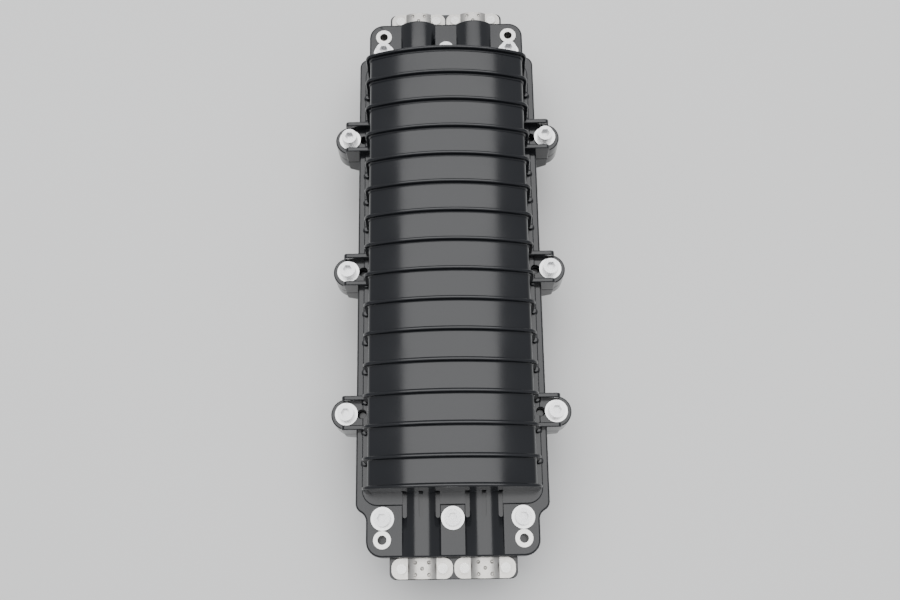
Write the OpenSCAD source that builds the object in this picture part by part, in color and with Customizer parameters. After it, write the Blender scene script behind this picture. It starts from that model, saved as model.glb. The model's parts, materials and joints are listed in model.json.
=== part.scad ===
// Horizontal clamshell fibre splice closure with two cable ports at each end.
// +Y runs along the closure, +X is to its right and +Z is up.
// The origin is on the ground, under the middle of the closure.

/* [Vault] */
// Width of each ribbed vault, over its ribs
vault_w = 127.2; // [122:0.2:136]
// Length of each vault, over its end walls
vault_len = 338; // [330:1:352]
// Height of each half, from the split plane to its crown or standing face
half_h = 60; // [57:0.5:64]
// Radius of the crown, over the ribs
crown_r = 140; // [128:1:160]
// Radius of the shoulders, over the ribs
shoulder_r = 9; // [8:0.5:12]
// Thickness of the vault's skin
skin_t = 2.8; // [2:0.1:3.4]
// Thickness of the vault's end walls
end_wall_t = 3; // [2.5:0.1:4]
// Half width of the flat that the lower ribs stand on
stand_half_w = 22; // [16:1:28]

/* [Ribs] */
// Height of a rib above the skin
rib_h = 3.6; // [2.8:0.1:4.2]
// Thickness of a rib
rib_t = 2.4; // [1.8:0.1:3.2]
// Distance between ribs
rib_pitch = 22.65; // [20:0.05:26]
// Radius of the round foot where a rib meets the flange
rib_foot_r = 2.6; // [2:0.1:3.2]
// Height of the rib's round foot above the flange
rib_foot_h = 4; // [2:0.5:7]

/* [Flange] */
// Width of the flange along the vault
flange_w = 141.4; // [138:0.2:148]
// Width of the flange at its ends
end_w = 126; // [122:0.5:132]
// Length of the flange
flange_len = 429; // [424:1:440]
// Thickness of each half's flange
flange_t = 13.6; // [12:0.2:15]
// Distance from the middle to the start of the narrowing
neck_y = 176; // [173:0.5:179]
// Radius of the two arcs of the narrowing
neck_r = 7.4; // [6.5:0.1:9]
// Radius of the flange's end corners
end_corner_r = 11.5; // [8:0.5:13]
// Height of the raised band round the foot of the vault
band_h = 1.2; // [0.6:0.1:1.6]
// Width of that band beside the vault
band_side = 2.4; // [1.6:0.1:3]
// Width of that band at the vault's ends
band_end = 9; // [7:0.5:9.5]
// Gap between the two halves when the closure is shut
mate_gap = 0.3; // [0.2:0.05:0.5]

/* [Ears] */
// Distance between the bolt ears along each side
ear_pitch = 110.7; // [104:0.1:116]
// Distance of the ear bolts from the middle line
ear_x = 77.9; // [76.5:0.1:80]
// Radius of an ear's round end
ear_r = 11.6; // [10.4:0.1:12.4]
// Clear width between an ear's two gussets
gusset_gap = 18.4; // [17.4:0.1:19.6]
// Thickness of a gusset
gusset_t = 3.5; // [2.6:0.1:4.2]
// Height of a gusset from the split plane
gusset_h = 21.5; // [18:0.5:24]
// Distance of a gusset's outer end from the middle line
gusset_x = 81; // [78:0.5:84]
// Radius of a gusset's outer corner
gusset_corner_r = 3; // [1.5:0.5:5]
// Distance between an ear's bolt and its blind core hole
core_hole_step = 11.4; // [11:0.1:12]
// Radius of the blind core hole
core_hole_r = 3.2; // [2.6:0.1:3.4]
// Depth of the blind core hole
core_hole_depth = 8; // [5:0.5:10]

/* [Bolts] */
// Distance from the middle of the closure to its end bolts
end_bolt_y = 187.2; // [186.6:0.1:189]
// Distance of the outer end bolts from the middle line
end_bolt_x = 50.9; // [49:0.1:53]
// Radius of a bolt's shank
bolt_r = 4; // [3.4:0.1:4.2]
// Length of a bolt's shank under its head
bolt_len = 30; // [28:0.5:33]
// Radius of a bolt's head
bolt_head_r = 6; // [5.6:0.1:6.6]
// Height of a bolt's head
bolt_head_h = 7.2; // [6:0.1:8]
// Width across the flats of the bolt's hexagon socket
socket_af = 6; // [5:0.5:6.5]
// Depth of the hexagon socket
socket_depth = 4; // [3:0.5:5]
// Radius of a washer
washer_r = 8.4; // [7.6:0.1:8.5]
// Thickness of a washer
washer_t = 1.6; // [1:0.1:2]
// Clearance of a bolt in its cover hole and washer, on the radius
bolt_hole_gap = 0.4; // [0.3:0.05:0.6]
// Running clearance of a bolt in its threaded insert, on the radius
thread_gap = 0.06; // [0.04:0.01:0.09]
// Radius of a threaded insert in the lower half
insert_r = 6; // [5.4:0.1:6.4]
// Clearance round a pressed-in insert or bush, on the radius
insert_gap = 0.05; // [0.03:0.01:0.1]

/* [Threaded bushes] */
// Distance of the bushes from the middle line
bush_x = 51.1; // [49:0.1:52]
// Distance of the bushes from the middle of the closure
bush_y = 202.2; // [202.1:0.1:203]
// Outer radius of a bush
bush_r = 6.4; // [5.8:0.1:6.4]
// Radius of a bush's tapped bore
bush_bore_r = 3.33; // [2.8:0.01:3.6]
// Height of a bush above the flange
bush_rise = 1.4; // [0.8:0.1:2]

/* [Ports] */
// Distance between the two ports of one end
port_pitch = 45.5; // [44:0.1:47]
// Outer radius of a port snout
snout_r = 19.6; // [19:0.1:20.6]
// Radius of the port's mouth
mouth_r = 11.6; // [10.6:0.1:12]
// Outer radius of a port seal
seal_r = 14; // [13.2:0.1:14.4]
// Length of the port's mouth beyond the seal
mouth_len = 13.7; // [12:0.1:16]
// Distance from the middle of the closure to a seal's inner end
seal_y = 171.2; // [171:0.1:172]
// Radius of the cable hole in a seal
cable_r = 4; // [3:0.1:4.4]
// Clearance round a seal in its pocket
seal_gap = 0.3; // [0.2:0.05:0.4]
// Height of the ridges round a seal
seal_ridge_h = 0.6; // [0.4:0.1:1]
// Width of the three cored slots along the root of a snout
snout_slot_w = 3.3; // [2.4:0.1:4]
// Distance of the outer slots from the snout's middle
snout_slot_step = 12; // [9:0.1:13]
// Depth of a slot
snout_slot_depth = 3; // [1.5:0.1:3.5]
// Distance from the middle of the closure to the slots' round ends
snout_slot_y = 187; // [180:0.5:192]

/* [Gasket groove] */
// Width of the gasket groove
groove_w = 5.4; // [4.8:0.1:5.8]
// Depth of the gasket groove
groove_depth = 6; // [5:0.5:7]
// Distance from the cavity to the groove's middle, at the sides
groove_side = 6.7; // [6.4:0.1:7]
// Distance from the cavity to the groove's middle, at the ends
groove_end = 10.5; // [10:0.1:11]
// Corner radius of the groove's middle line
groove_corner_r = 9; // [6:0.5:11]
// Thickness of the gasket strip
strip_t = 3.4; // [2.5:0.1:4]
// Clearance of the strip and of the cover's tongue in the groove
strip_gap = 0.2; // [0.1:0.05:0.3]
// Clearance between the cover's tongue and the strip below it
tongue_gap = 0.3; // [0.2:0.05:0.5]

/* [Cable clamps] */
// Half width of the lower half's clamp shelf
shelf_half_w = 46.5; // [45.5:0.5:49]
// Length of the clamp shelf beyond the flange
shelf_len = 15.5; // [15.2:0.1:18]
// Height of the clamp shelf above the split plane
shelf_rise = 2.3; // [1.5:0.1:3]
// Corner radius of the clamp shelf
shelf_corner_r = 5; // [3:0.5:7]
// Width of a clamp plate
plate_w = 44.3; // [43:0.1:45]
// Depth of a clamp plate along the cable
plate_depth = 14.5; // [13:0.1:14.7]
// Corner radius of a clamp plate
plate_corner_r = 6; // [4:0.5:7]
// Thickness of a clamp plate
plate_t = 1.5; // [1:0.1:2]
// Width of the plate's raised arch
arch_w = 20; // [18:0.5:22]
// Rise of the arch
arch_rise = 3; // [2:0.1:4]
// Distance between a plate's two screws
clamp_screw_pitch = 29.8; // [29:0.1:31]
// Radius of a clamp screw's shank
clamp_screw_r = 2; // [1.5:0.1:2]
// Length of a clamp screw under its head
clamp_screw_len = 12; // [9:0.5:14]
// Radius of a clamp screw's head
clamp_head_r = 3.65; // [3:0.05:4]
// Height of a clamp screw's head
clamp_head_h = 2.5; // [2:0.1:3]
// Radius of the plate's pressed dimples
dimple_r = 1.5; // [1.2:0.1:1.8]

/* [Tray carrier] */
// Height of the carrier plate's underside above the ground
carrier_z = 44; // [40:0.5:46]
// Thickness of the carrier plate
carrier_t = 2; // [1.5:0.1:2.5]
// Room between the carrier plate and the cavity's end walls
carrier_end_room = 20; // [16:1:22]
// Room between the carrier's cheeks and the cavity's side walls
carrier_side_room = 8.4; // [6:0.1:10]
// Corner radius of the carrier plate
carrier_corner_r = 6; // [3:0.5:9]
// Distance of the carrier's posts from the middle line
post_x = 34; // [32:0.5:36]
// Distance of the carrier's posts from the middle of the closure
post_y = 118; // [114:1:122]
// Radius of a carrier post
post_r = 4.5; // [3.6:0.1:5]
// Radius of a carrier screw
carrier_screw_r = 2; // [1.5:0.1:2.4]
// Length of a carrier screw under its head
carrier_screw_len = 12; // [9:0.5:14]
// Thickness of the carrier's hinge cheeks
cheek_t = 2.5; // [2:0.1:3]
// Margin of a cheek round the hinge pins
cheek_margin = 7; // [6:0.5:8]
// Length of the slot in the carrier plate
carrier_slot_len = 60; // [40:1:80]
// Width of the slot in the carrier plate
carrier_slot_w = 16; // [8:0.5:24]

/* [Splice trays] */
// Height of a splice tray
tray_h = 9; // [8:0.1:9.4]
// Length of a tray from its hinge pins to its free end
tray_len = 196; // [186:1:204]
// Wall and floor thickness of a tray
tray_wall = 1.5; // [1.2:0.1:2]
// Height step from one tray to the next
tray_step_z = 9.8; // [9.6:0.1:10.4]
// Backward step of the hinge from one tray to the next
tray_step_y = 8.5; // [8:0.1:9.5]
// Distance of the lowest tray's hinge from the middle of the closure
hinge_y = 94; // [90:0.5:96]
// Clearance of a tray between the carrier's cheeks and above its plate
tray_gap = 0.6; // [0.4:0.1:1]
// Corner radius of a tray's free end
tray_corner_r = 14; // [8:0.5:18]
// Radius of a tray's hinge pins
pin_r = 2; // [1.5:0.1:2.5]
// Running clearance of a hinge pin, on the radius
pin_gap = 0.06; // [0.04:0.01:0.09]
// Length of a hinge barrel beside the tray's entry
barrel_len = 14; // [9:0.5:18]
// Outer radius of a tray's fibre drum
drum_r = 18; // [14:0.5:21]
// Distance of the drums from the middle of the tray's floor
drum_step = 58; // [54:1:62]
// Thickness of the lid on the top tray
lid_t = 1.6; // [1:0.1:2]
// Length of the tabs that keep the fibre down
tab_len = 8; // [5:0.5:12]
// Width of a tab
tab_w = 9; // [6:0.5:12]
// Thickness of a tab
tab_t = 1; // [0.8:0.1:1.4]

/* [Splice holders] */
// Width of a splice holder
holder_w = 56; // [46:1:60]
// Length of a splice holder
holder_len = 40; // [34:1:46]
// Thickness of the holder's base and ribs
holder_t = 1.2; // [0.8:0.1:1.6]
// Height of the holder's ribs
holder_h = 5.4; // [4:0.1:6]
// Distance between the holder's ribs
holder_pitch = 4.4; // [3.6:0.1:5.2]

/* [Strength member clamps] */
// Distance of these clamps from the middle of the closure
strength_y = 138; // [137:0.5:139]
// Radius of a clamp post
strength_r = 5.5; // [5:0.1:6]
// Height of a clamp post on the carrier plate
strength_h = 14; // [11:0.5:15]
// Radius of the cross hole for the strength member
member_r = 2; // [1.2:0.1:2.2]
// Radius of the clamp's set screw
strength_screw_r = 2.5; // [2:0.1:2.8]
// Radius of the set screw's head
strength_head_r = 4.5; // [4:0.1:5.2]

/* [Hidden] */
$fn = 48;
SIDES = [-1, 1];
// How far a piece reaches into the one it stands on, and how far a cutter runs past its piece
bite = 0.01;
far = 400;

split_z = half_h;
stand_cut = crown_r - sqrt(crown_r * crown_r - stand_half_w * stand_half_w);
lower_crown_h = half_h + stand_cut;
cavity_half_w = vault_w / 2 - rib_h - skin_t;
cavity_half_len = vault_len / 2 - end_wall_t;
wall_x = vault_w / 2;
shoulder_x = wall_x - shoulder_r;
crown_a = asin(shoulder_x / (crown_r - shoulder_r));
crown_to_shoulder = (crown_r - shoulder_r) * cos(crown_a);
shoulder_bump = 0.05;
rib_pairs = floor((vault_len / 2 - 0.6 * rib_pitch) / rib_pitch + 0.5);
inner_ribs = [for (i = [-rib_pairs : rib_pairs - 1]) (i + 0.5) * rib_pitch];
end_rib = (vault_len - rib_t) / 2;
neck_step = (flange_w - end_w) / 2;
neck_a = acos(1 - neck_step / (2 * neck_r));
neck_len = 2 * neck_r * sin(neck_a);
flange_top = split_z + flange_t;
ear_places = [for (side = SIDES, i = [-1 : 1]) [side * ear_x, i * ear_pitch]];
end_bolt_places = [for (end = SIDES, i = [-1 : 1]) [i * end_bolt_x, end * end_bolt_y]];
bush_places = [for (side = SIDES, end = SIDES) [side * bush_x, end * bush_y]];
port_places = [for (end = SIDES, side = SIDES) [side * port_pitch / 2, end]];
pocket_r = seal_r + seal_gap;
groove_half_w = cavity_half_w + groove_side;
groove_half_len = cavity_half_len + groove_end;
strip_top = groove_depth - strip_t;
shelf_end = flange_len / 2 + shelf_len;
shelf_gap = 0.3;
shelf_root = 12;
plate_gap = 0.2;
plate_y = flange_len / 2 + shelf_gap + plate_gap + plate_depth / 2;
dimple_x = arch_w / 4;
dimple_y = plate_depth / 3.4;
seal_len = flange_len / 2 - mouth_len - seal_y;
plate_z = split_z + shelf_rise;
arch_r = (arch_w * arch_w / 4 + arch_rise * arch_rise) / (2 * arch_rise);
carrier_half_len = cavity_half_len - carrier_end_room;
cheek_x = cavity_half_w - carrier_side_room;
tray_half_w = cheek_x - cheek_t - tray_gap;
carrier_top = carrier_z + carrier_t;
lowest_hinge_z = carrier_top + tray_gap + tray_h / 2;
tray_floor_mid = tray_len / 2;
tray_count = 4;
lower_inner_r = crown_r - rib_h - skin_t;
post_foot = lower_inner_r - sqrt(lower_inner_r * lower_inner_r - post_x * post_x) - stand_cut
    + rib_h + skin_t / 2;

// Where the hinge of tray i is, counted from the lowest tray
function tray_hinge(i) = [0, -hinge_y - i * tray_step_y, lowest_hinge_z + i * tray_step_z];

// A point at angle a on a circle about [x, y]
function on_circle(x, y, r, a) = [x + r * cos(a), y + r * sin(a)];

// Points of an arc about [x, y], from angle a to angle b
function arc(x, y, r, a, b, n = 6) = [for (i = [0 : n]) on_circle(x, y, r, a + (b - a) * i / n)];

// A list of points mirrored left to right, in reverse order
function mirrored(points) = [for (i = [len(points) - 1 : -1 : 0]) [-points[i][0], points[i][1]]];

// A list of points mirrored end to end, in reverse order
function flipped(points) = [for (i = [len(points) - 1 : -1 : 0]) [points[i][0], -points[i][1]]];

module rounded_rect(w, l, r) {
    square([w - 2 * r, l], center = true);
    square([w, l - 2 * r], center = true);
    for (x = SIDES, y = SIDES) translate([x * (w / 2 - r), y * (l / 2 - r)]) circle(r = r);
}

// A cylinder along Y between two distances from the middle, on the end that is given
module bar_y(r, y0, y1, end) {
    translate([0, end > 0 ? y0 : -y1, 0]) rotate([-90, 0, 0]) cylinder(r = r, h = y1 - y0);
}

// ---------------------------------------------------------------- the two halves

// The vault's outline across the closure, drawn in by inset, from its foot at y = 0.
// The shoulder circles stand proud by shoulder_bump, so they cross the crown and the walls.
module vault_outline(h, inset, foot = 0) {
    cy = h - crown_r;
    sy = cy + crown_to_shoulder;
    reach = 2 * crown_r;
    intersection() {
        translate([0, cy]) circle(r = crown_r - inset);
        polygon([[0, cy], on_circle(0, cy, reach, 90 - crown_a), on_circle(0, cy, reach, 90 + crown_a)]);
        translate([-wall_x, -foot]) square([2 * wall_x, reach]);
    }
    for (side = SIDES) translate([side * shoulder_x, sy]) circle(r = shoulder_r - inset + shoulder_bump);
    translate([inset - wall_x, -foot]) square([2 * (wall_x - inset), sy + foot]);
}

// A slice of the vault of thickness t at y, between two insets
module vault_slice(h, y, t, outer, inner) {
    translate([0, y, 0]) rotate([90, 0, 0]) linear_extrude(t, center = true) difference() {
        vault_outline(h, outer);
        vault_outline(h, inner, 1);
    }
}

// The crowned skin, its ribs and its two end walls
module ribbed_vault(h) {
    vault_slice(h, 0, vault_len, rib_h, rib_h + skin_t);
    for (y = concat(inner_ribs, [-end_rib, end_rib])) vault_slice(h, y, rib_t, 0, rib_h + skin_t / 2);
    for (end = SIDES) translate([0, end * (vault_len - end_wall_t) / 2, 0]) rotate([90, 0, 0])
        linear_extrude(end_wall_t, center = true) vault_outline(h, rib_h + skin_t / 2);
}

module flange_outline() {
    quarter = concat(
        arc(flange_w / 2 - neck_r, neck_y, neck_r, 0, neck_a),
        arc(end_w / 2 + neck_r, neck_y + neck_len, neck_r, 180 + neck_a, 180),
        arc(end_w / 2 - end_corner_r, flange_len / 2 - end_corner_r, end_corner_r, 0, 90, 8)
    );
    half = concat(quarter, mirrored(quarter));
    polygon(concat(half, flipped(half)));
}

// One gusset of an ear, seen from the end: its outer corner is round above and cut back below
module gusset_outline(cut_back) {
    x0 = cavity_half_w + skin_t / 2;
    slope = gusset_h / 2;
    if (cut_back)
        polygon([[x0, 0], [gusset_x, 0], [gusset_x, flange_t], [gusset_x - slope, gusset_h], [x0, gusset_h]]);
    else {
        translate([x0, 0]) square([gusset_x - x0, gusset_h - gusset_corner_r]);
        translate([x0, 0]) square([gusset_x - x0 - gusset_corner_r, gusset_h]);
        translate([gusset_x - gusset_corner_r, gusset_h - gusset_corner_r]) circle(r = gusset_corner_r);
    }
}

module ear(cut_back) {
    translate([ear_x, 0, 0]) cylinder(r = ear_r, h = flange_t);
    translate([cavity_half_w, -ear_r, 0]) cube([ear_x - cavity_half_w, 2 * ear_r, flange_t]);
    for (s = SIDES) translate([0, s * (gusset_gap + gusset_t) / 2, 0]) rotate([90, 0, 0])
        linear_extrude(gusset_t, center = true) gusset_outline(cut_back);
}

// The three cored slots along the root of a snout
module snout_slots(end) for (i = [-1 : 1]) {
    floor_z = sqrt(pow(snout_r, 2) - pow(i * snout_slot_step, 2)) - snout_slot_depth;
    straight = snout_slot_y - snout_slot_w / 2 - cavity_half_len;
    scale([1, end, 1]) translate([i * snout_slot_step, cavity_half_len, floor_z]) {
        translate([-snout_slot_w / 2, 0, 0]) cube([snout_slot_w, straight, snout_r]);
        translate([0, straight, 0]) cylinder(r = snout_slot_w / 2, h = snout_r);
    }
}

// What both halves share, standing on the split plane at z = 0 with the crown up
module half_body(h, cut_back) {
    difference() {
        union() {
            linear_extrude(flange_t) flange_outline();
            linear_extrude(flange_t + band_h)
                rounded_rect(vault_w + 2 * band_side, vault_len + 2 * band_end, end_corner_r);
            for (p = port_places) translate([p[0], 0, 0]) bar_y(snout_r, cavity_half_len, flange_len / 2, p[1]);
            for (side = [0, 1], i = [-1 : 1]) mirror([side, 0, 0])
                translate([0, i * ear_pitch, 0]) ear(cut_back);
            for (side = SIDES, y = inner_ribs) translate([side * vault_w / 2, y, flange_t])
                cylinder(r = rib_foot_r, h = rib_foot_h);
        }
        translate([-cavity_half_w, -cavity_half_len, -far])
            cube([2 * cavity_half_w, 2 * cavity_half_len, far + h / 2]);
        for (p = port_places) translate([p[0], 0, 0]) snout_slots(p[1]);
    }
    ribbed_vault(h);
}

module port_bores() {
    for (p = port_places) translate([p[0], 0, 0]) {
        bar_y(mouth_r, cavity_half_len - 1, shelf_end + 1, p[1]);
        bar_y(pocket_r, seal_y - seal_gap, seal_y + seal_len + seal_gap, p[1]);
    }
}

// The gasket groove's plan at a given width
module groove_outline(w) {
    difference() {
        rounded_rect(2 * groove_half_w + w, 2 * groove_half_len + w, groove_corner_r + w / 2);
        rounded_rect(2 * groove_half_w - w, 2 * groove_half_len - w, groove_corner_r - w / 2);
    }
}

module upper_shell() color("#16181c") translate([0, 0, split_z]) {
    difference() {
        half_body(half_h, false);
        translate([-far / 2, -far, -far]) cube([far, 2 * far, far + mate_gap / 2]);
        port_bores();
        for (p = concat(ear_places, end_bolt_places)) translate([p[0], p[1], -1])
            cylinder(r = bolt_r + bolt_hole_gap, h = flange_t + 2);
        for (p = bush_places) translate([p[0], p[1], -1]) cylinder(r = bush_r + insert_gap, h = flange_t + 2);
        for (p = ear_places) translate([p[0] - sign(p[0]) * core_hole_step, p[1], flange_t - core_hole_depth])
            cylinder(r = core_hole_r, h = core_hole_depth + 5);
    }
    difference() {
        translate([0, 0, tongue_gap - strip_top]) linear_extrude(strip_top - tongue_gap + mate_gap)
            groove_outline(groove_w - 4 * strip_gap);
        for (p = port_places) translate([p[0], 0, 0])
            bar_y(pocket_r + strip_gap, cavity_half_len, flange_len / 2, p[1]);
    }
}

// The shelf beyond the flange that the cable clamps are screwed to
module clamp_shelf(end) {
    scale([1, end, 1]) {
        translate([0, 0, -flange_t]) linear_extrude(flange_t - mate_gap / 2)
            shelf_outline(flange_len / 2 - shelf_root);
        translate([0, 0, -flange_t]) linear_extrude(flange_t + shelf_rise)
            shelf_outline(flange_len / 2 + shelf_gap);
    }
}

module shelf_outline(start) {
    r = shelf_corner_r;
    polygon(concat(
        [[-shelf_half_w, start], [shelf_half_w, start]],
        arc(shelf_half_w - r, shelf_end - r, r, 0, 90), arc(r - shelf_half_w, shelf_end - r, r, 90, 180)
    ));
}

module lower_shell() color("#16181c") translate([0, 0, split_z]) difference() {
    union() {
        difference() {
            mirror([0, 0, 1]) half_body(lower_crown_h, true);
            translate([-far / 2, -far, -mate_gap / 2]) cube([far, 2 * far, far]);
            translate([-far / 2, -far, -split_z - far]) cube([far, 2 * far, far]);
        }
        for (end = SIDES) clamp_shelf(end);
        for (x = SIDES, y = SIDES) translate([x * post_x, y * post_y, post_foot - split_z])
            cylinder(r = post_r, h = carrier_z - post_foot);
    }
    port_bores();
    translate([0, 0, -groove_depth]) linear_extrude(groove_depth) groove_outline(groove_w);
    for (p = concat(ear_places, end_bolt_places)) translate([p[0], p[1], -flange_t - 1])
        cylinder(r = insert_r + insert_gap, h = flange_t + 2);
    for (x = SIDES, y = SIDES) translate([x * post_x, y * post_y, carrier_z - split_z - carrier_screw_len])
        cylinder(r = carrier_screw_r, h = carrier_screw_len + 1);
    for (p = port_places, s = SIDES)
        translate([p[0] + s * clamp_screw_pitch / 2, p[1] * plate_y, shelf_rise - clamp_screw_len - 1])
            cylinder(r = clamp_screw_r, h = clamp_screw_len + 2);
}

// ---------------------------------------------------------------- seals

module sealing_strips() color("#2a2b2d") translate([0, 0, split_z - groove_depth]) difference() {
    linear_extrude(strip_t) groove_outline(groove_w - 2 * strip_gap);
    for (p = port_places) translate([p[0], 0, groove_depth])
        bar_y(pocket_r, cavity_half_len, flange_len / 2, p[1]);
}

// A rubber seal round one cable, with three ridges that the shells press on
module port_seal(i) {
    place = port_places[i];
    body_r = seal_r - seal_ridge_h;
    ridge = seal_len / 7;
    color("#26272a") translate([place[0], place[1] * seal_y, split_z]) rotate([-90 * place[1], 0, 0])
        rotate_extrude() polygon(concat(
            [[cable_r, 0], [body_r, 0]],
            [for (k = [0 : 2]) each [
                [body_r, (2 * k + 1) * ridge], [seal_r, (2 * k + 1) * ridge + seal_ridge_h],
                [seal_r, (2 * k + 2) * ridge - seal_ridge_h], [body_r, (2 * k + 2) * ridge]
            ]],
            [[body_r, seal_len], [cable_r, seal_len]]
        ));
}

// ---------------------------------------------------------------- fasteners

module socket_bolt() {
    difference() {
        union() {
            translate([0, 0, -bolt_len]) cylinder(r = bolt_r, h = bolt_len + bite);
            cylinder(r = bolt_head_r, h = bolt_head_h);
        }
        translate([0, 0, bolt_head_h - socket_depth])
            cylinder(r = socket_af / sqrt(3), h = socket_depth + 1, $fn = 6);
    }
}

module washer() {
    difference() {
        cylinder(r = washer_r, h = washer_t);
        translate([0, 0, -1]) cylinder(r = bolt_r + bolt_hole_gap, h = washer_t + 2);
    }
}

module bolts(places) color("#c9c6bf") for (p = places)
    translate([p[0], p[1], flange_top + washer_t]) socket_bolt();

module washers(places) color("#d6d3cb") for (p = places) translate([p[0], p[1], flange_top]) washer();

module bolt_inserts() color("#b08d4a") for (p = concat(ear_places, end_bolt_places))
    translate([p[0], p[1], split_z - flange_t]) difference() {
        cylinder(r = insert_r, h = flange_t - mate_gap / 2);
        translate([0, 0, -1]) cylinder(r = bolt_r + thread_gap, h = flange_t + 2);
    }

module threaded_bushes() color("#c4bfb3") for (p = bush_places)
    translate([p[0], p[1], split_z + mate_gap]) difference() {
        cylinder(r = bush_r, h = flange_t + bush_rise - mate_gap);
        translate([0, 0, -1]) cylinder(r = bush_bore_r, h = flange_t + bush_rise + 2);
    }

// ---------------------------------------------------------------- cable clamps

// The clamp plate seen from the end: flat lands with a round arch between them
module clamp_section() {
    difference() {
        union() {
            translate([-plate_w / 2, 0]) square([plate_w, plate_t]);
            intersection() {
                translate([0, plate_t + arch_rise - arch_r - plate_t]) circle(r = arch_r + plate_t);
                translate([-plate_w / 2, plate_t / 2]) square([plate_w, arch_rise + plate_t]);
            }
        }
        intersection() {
            translate([0, arch_rise - arch_r]) circle(r = arch_r);
            translate([-plate_w / 2, -1]) square([plate_w, arch_rise + 2]);
        }
    }
}

module dimples(r) {
    spots = concat([[0, 0]], [for (x = SIDES, y = SIDES) [x * dimple_x, y * dimple_y]]);
    for (p = spots) translate([p[0], p[1], arch_top(p[0]) + dimple_r / 3]) sphere(r = r);
}

function arch_top(x) = arch_rise - arch_r + sqrt(pow(arch_r + plate_t, 2) - x * x);

module clamp_plate(i) {
    place = port_places[i];
    color("#9a948a") translate([place[0], place[1] * plate_y, plate_z]) difference() {
        intersection() {
            rotate([90, 0, 0]) linear_extrude(plate_depth, center = true) clamp_section();
            linear_extrude(arch_rise + 2 * plate_t) rounded_rect(plate_w, plate_depth, plate_corner_r);
        }
        dimples(dimple_r);
        for (s = SIDES) translate([s * clamp_screw_pitch / 2, 0, -1])
            cylinder(r = clamp_screw_r + bolt_hole_gap / 2, h = plate_t + 2);
    }
}

module clamp_screws() color("#b9b4aa") for (p = port_places, s = SIDES)
    translate([p[0] + s * clamp_screw_pitch / 2, p[1] * plate_y, plate_z + plate_t]) {
        translate([0, 0, -clamp_screw_len])
            cylinder(r = clamp_screw_r - insert_gap, h = clamp_screw_len + bite);
        cylinder(r = clamp_head_r, h = clamp_head_h);
    }

// ---------------------------------------------------------------- tray carrier

// The hinge cheek seen from the side: it leans back with the stbite of the trays' hinges
module cheek_outline() {
    low = tray_hinge(0);
    high = tray_hinge(tray_count - 1);
    lean = tray_step_y / tray_step_z;
    front = low[1] + cheek_margin;
    top = high[2] + cheek_margin;
    polygon([
        [front + lean * (low[2] - carrier_z), carrier_z], [front - lean * (top - low[2]), top],
        [high[1] - cheek_margin, top], [high[1] - cheek_margin, carrier_z]
    ]);
}

module tray_carrier() color("#c3c6c9") difference() {
    union() {
        translate([0, 0, carrier_z]) linear_extrude(carrier_t)
            rounded_rect(2 * cheek_x, 2 * carrier_half_len, carrier_corner_r);
        for (side = SIDES) translate([side * (cheek_x - cheek_t / 2), 0, 0]) rotate([90, 0, 90])
            linear_extrude(cheek_t, center = true) cheek_outline();
    }
    for (i = [0 : tray_count - 1]) translate(tray_hinge(i)) rotate([0, 90, 0])
        cylinder(r = pin_r + pin_gap, h = far, center = true);
    for (x = SIDES, y = SIDES) translate([x * post_x, y * post_y, carrier_z - 1])
        cylinder(r = carrier_screw_r + insert_gap, h = carrier_t + 2);
    for (p = port_places) translate([p[0], p[1] * strength_y, carrier_z - 1])
        cylinder(r = strength_screw_r, h = carrier_t + 2);
    for (y = [-0.5, 0.5]) translate([0, y * (carrier_slot_len + carrier_slot_w), carrier_z - 1])
        linear_extrude(carrier_t + 2)
            rounded_rect(carrier_slot_w, carrier_slot_len, carrier_slot_w / 2 - bite);
}

module carrier_screws() color("#b9b4aa") for (x = SIDES, y = SIDES)
    translate([x * post_x, y * post_y, carrier_top]) {
        translate([0, 0, -carrier_screw_len])
            cylinder(r = carrier_screw_r - insert_gap, h = carrier_screw_len + bite);
        cylinder(r = clamp_head_r, h = clamp_head_h);
    }

// A post with a cross hole for the cable's strength member and a set screw above it
module strength_clamp(i) {
    place = port_places[i];
    color("#b08d4a") translate([place[0], place[1] * strength_y, carrier_top]) difference() {
        union() {
            cylinder(r = strength_r, h = strength_h);
            translate([0, 0, -carrier_t]) cylinder(r = strength_screw_r - insert_gap, h = carrier_t + bite);
        }
        translate([0, 0, strength_h / 2]) rotate([90, 0, 0])
            cylinder(r = member_r, h = 4 * strength_r, center = true);
        translate([0, 0, strength_h / 2]) cylinder(r = strength_screw_r, h = strength_h);
    }
}

module strength_screws() color("#b9b4aa") for (p = port_places)
    translate([p[0], p[1] * strength_y, carrier_top + strength_h]) {
        translate([0, 0, 1 + member_r - strength_h / 2])
            cylinder(r = strength_screw_r - insert_gap, h = strength_h / 2 - member_r);
        cylinder(r = strength_head_r, h = clamp_head_h);
    }

// ---------------------------------------------------------------- splice trays

// A tray's plan from its hinge to its free end, drawn in by inset
module tray_outline(inset) {
    r = tray_corner_r - inset;
    w = tray_half_w - inset;
    start = tray_h / 2 + inset;
    polygon(concat(
        [[-w, start], [w, start]],
        arc(tray_half_w - tray_corner_r, tray_len - tray_corner_r, r, 0, 90),
        arc(tray_corner_r - tray_half_w, tray_len - tray_corner_r, r, 90, 180)
    ));
}

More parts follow.
